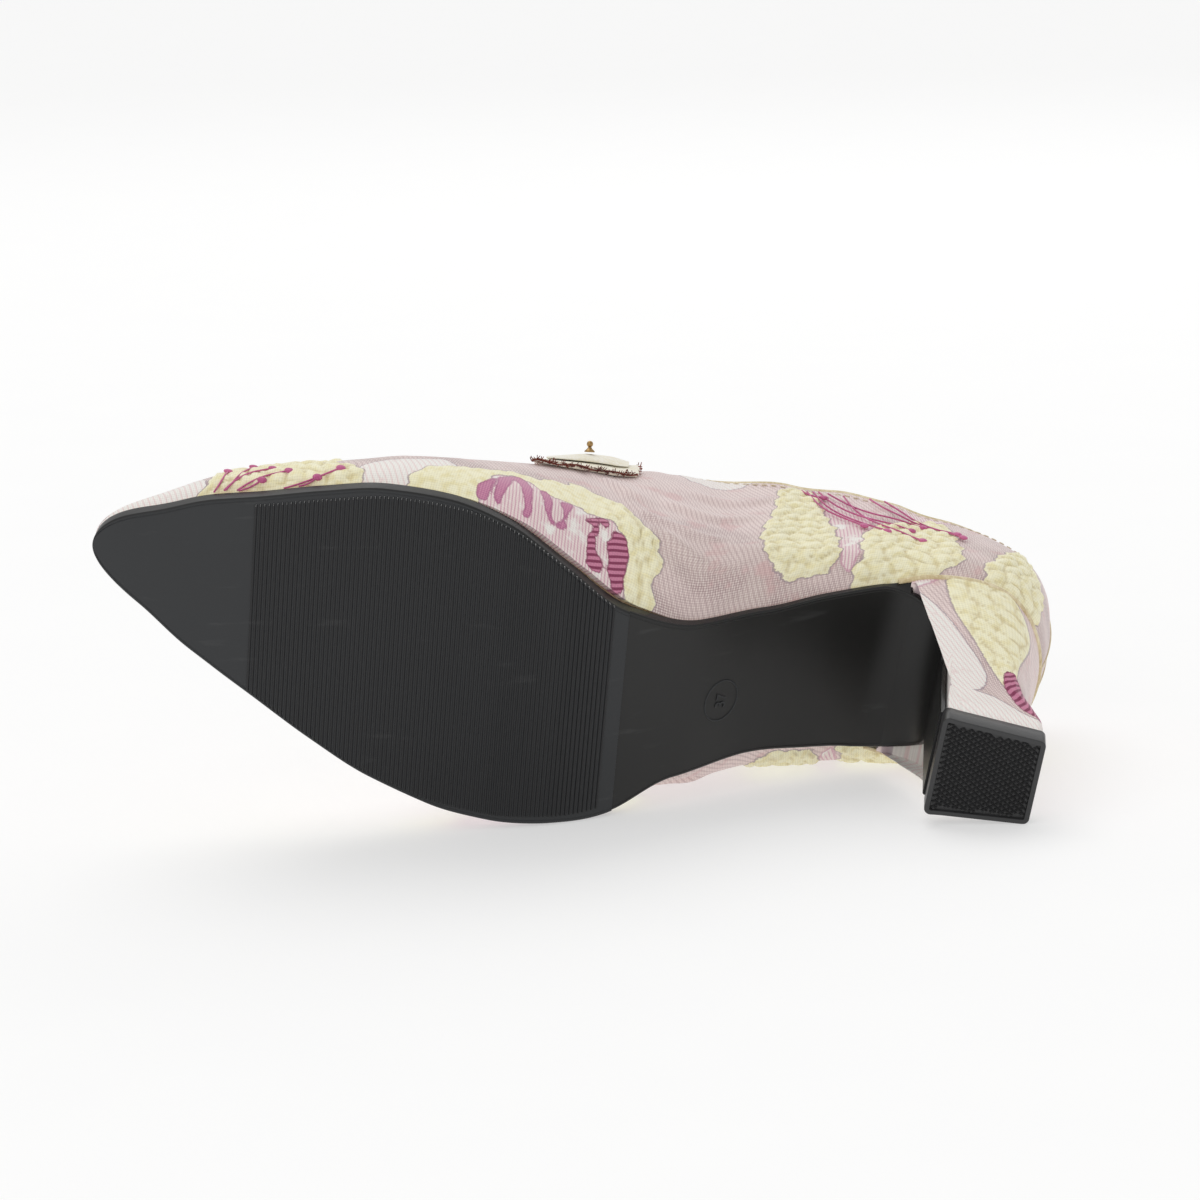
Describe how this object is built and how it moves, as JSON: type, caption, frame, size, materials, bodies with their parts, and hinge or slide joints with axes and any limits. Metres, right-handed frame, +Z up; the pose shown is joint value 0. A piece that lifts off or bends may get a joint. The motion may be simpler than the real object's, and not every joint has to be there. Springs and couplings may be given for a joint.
{
  "type": "high-heeled shoe",
  "caption": "Right court shoe with a pointed toe and a block heel, a cloth upper, a ribbed black sole and a bow across the instep, lying on its lateral side.",
  "frame": {"origin": "middle of the footprint of the lying shoe, on the floor", "axes": "+Z up from the floor, -Y the side that the sole faces, -X towards the toe"},
  "size_m": [0.2314, 0.1088, 0.0927],
  "materials": {
    "sole_rubber": "moulded, satin",
    "jacquard_cloth": "woven floral jacquard",
    "sock_lining": "smooth",
    "bow_cloth": "woven, with a frayed edge",
    "bead_brass": "polished"
  },
  "bodies": {
    "root": {"outsole": "sole_rubber", "heel_block": "jacquard_cloth", "top_piece": "sole_rubber", "upper": "jacquard_cloth", "insole": "sock_lining", "bow_tail": "bow_cloth", "bow_loop_medial": "bow_cloth", "bow_loop_lateral": "bow_cloth", "bow_knot": "bow_cloth", "bow_bead": "bead_brass"}
  },
  "joints": []
}
